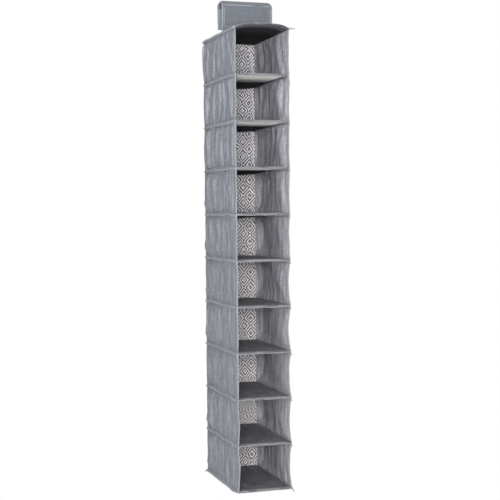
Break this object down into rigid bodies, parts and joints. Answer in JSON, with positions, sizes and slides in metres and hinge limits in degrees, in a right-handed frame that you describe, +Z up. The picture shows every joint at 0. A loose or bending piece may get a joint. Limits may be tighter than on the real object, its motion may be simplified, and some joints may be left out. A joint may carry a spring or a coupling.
{
  "type": "shoe organizer",
  "caption": "Tall narrow hanging fabric organizer: a column of open-front shelves for shoes under a wide hook-and-loop strap that closes over a closet rod, folding flat for storage.",
  "frame": {"origin": "axis of the closet rod in the strap's loop, at mid-width and mid-depth", "axes": "+Z up along the column, -Y out of the open front, X across the front along the rod"},
  "size_m": [0.163, 0.309, 1.367],
  "materials": {
    "wall_fabric": "matte heathered non-woven fabric",
    "patterned_fabric": "matte non-woven fabric with a printed diamond weave",
    "shelf_fabric": "matte dark lining fabric",
    "greyboard": "uncoated greyboard",
    "strap_fabric": "matte closely woven strap fabric",
    "hook_tape": "hook side of hook-and-loop tape",
    "loop_tape": "napped loop side of hook-and-loop tape"
  },
  "bodies": {
    "hanger": {"top_panel_cover": "shelf_fabric", "top_panel_board": "greyboard", "strap_patch": "strap_fabric", "strap_band": "strap_fabric", "strap_tab": "strap_fabric", "hook_tape": "hook_tape", "left_wall_1": "wall_fabric", "right_wall_1": "wall_fabric", "back_panel_1": "patterned_fabric"},
    "shelf_1": {"shelf_1_cover": "shelf_fabric", "shelf_1_board": "greyboard", "left_wall_2": "wall_fabric", "right_wall_2": "wall_fabric", "back_panel_2": "patterned_fabric"},
    "shelf_2": {"shelf_2_cover": "shelf_fabric", "shelf_2_board": "greyboard", "left_wall_3": "wall_fabric", "right_wall_3": "wall_fabric", "back_panel_3": "patterned_fabric"},
    "shelf_3": {"shelf_3_cover": "shelf_fabric", "shelf_3_board": "greyboard", "left_wall_4": "wall_fabric", "right_wall_4": "wall_fabric", "back_panel_4": "patterned_fabric"},
    "shelf_4": {"shelf_4_cover": "shelf_fabric", "shelf_4_board": "greyboard", "left_wall_5": "wall_fabric", "right_wall_5": "wall_fabric", "back_panel_5": "patterned_fabric"},
    "shelf_5": {"shelf_5_cover": "shelf_fabric", "shelf_5_board": "greyboard", "left_wall_6": "wall_fabric", "right_wall_6": "wall_fabric", "back_panel_6": "patterned_fabric"},
    "shelf_6": {"shelf_6_cover": "shelf_fabric", "shelf_6_board": "greyboard", "left_wall_7": "wall_fabric", "right_wall_7": "wall_fabric", "back_panel_7": "patterned_fabric"},
    "shelf_7": {"shelf_7_cover": "shelf_fabric", "shelf_7_board": "greyboard", "left_wall_8": "wall_fabric", "right_wall_8": "wall_fabric", "back_panel_8": "patterned_fabric"},
    "shelf_8": {"shelf_8_cover": "shelf_fabric", "shelf_8_board": "greyboard", "left_wall_9": "wall_fabric", "right_wall_9": "wall_fabric", "back_panel_9": "patterned_fabric"},
    "shelf_9": {"shelf_9_cover": "shelf_fabric", "shelf_9_board": "greyboard", "left_wall_10": "wall_fabric", "right_wall_10": "wall_fabric", "back_panel_10": "patterned_fabric"},
    "bottom_panel": {"bottom_panel_cover": "shelf_fabric", "bottom_panel_board": "greyboard"},
    "closing_flap": {"strap_flap": "strap_fabric", "loop_tape": "loop_tape"}
  },
  "joints": [
    {"name": "fold_1", "type": "slide", "parent": "hanger", "child": "shelf_1", "axis": [0, 0, 1], "range_m": [0, 0.114], "deforming": ["left_wall_1", "right_wall_1", "back_panel_1"]},
    {"name": "fold_2", "type": "slide", "parent": "shelf_1", "child": "shelf_2", "axis": [0, 0, 1], "range_m": [0, 0.114], "deforming": ["left_wall_2", "right_wall_2", "back_panel_2"]},
    {"name": "fold_3", "type": "slide", "parent": "shelf_2", "child": "shelf_3", "axis": [0, 0, 1], "range_m": [0, 0.114], "deforming": ["left_wall_3", "right_wall_3", "back_panel_3"]},
    {"name": "fold_4", "type": "slide", "parent": "shelf_3", "child": "shelf_4", "axis": [0, 0, 1], "range_m": [0, 0.114], "deforming": ["left_wall_4", "right_wall_4", "back_panel_4"]},
    {"name": "fold_5", "type": "slide", "parent": "shelf_4", "child": "shelf_5", "axis": [0, 0, 1], "range_m": [0, 0.114], "deforming": ["left_wall_5", "right_wall_5", "back_panel_5"]},
    {"name": "fold_6", "type": "slide", "parent": "shelf_5", "child": "shelf_6", "axis": [0, 0, 1], "range_m": [0, 0.114], "deforming": ["left_wall_6", "right_wall_6", "back_panel_6"]},
    {"name": "fold_7", "type": "slide", "parent": "shelf_6", "child": "shelf_7", "axis": [0, 0, 1], "range_m": [0, 0.114], "deforming": ["left_wall_7", "right_wall_7", "back_panel_7"]},
    {"name": "fold_8", "type": "slide", "parent": "shelf_7", "child": "shelf_8", "axis": [0, 0, 1], "range_m": [0, 0.114], "deforming": ["left_wall_8", "right_wall_8", "back_panel_8"]},
    {"name": "fold_9", "type": "slide", "parent": "shelf_8", "child": "shelf_9", "axis": [0, 0, 1], "range_m": [0, 0.114], "deforming": ["left_wall_9", "right_wall_9", "back_panel_9"]},
    {"name": "fold_10", "type": "slide", "parent": "shelf_9", "child": "bottom_panel", "axis": [0, 0, 1], "range_m": [0, 0.114], "deforming": ["left_wall_10", "right_wall_10", "back_panel_10"]},
    {"name": "strap_opening", "type": "hinge", "parent": "hanger", "child": "closing_flap", "pos_m": [0, 0.02325, -0.0014], "axis": [1, 0, 0], "range_deg": [0, 150]}
  ]
}
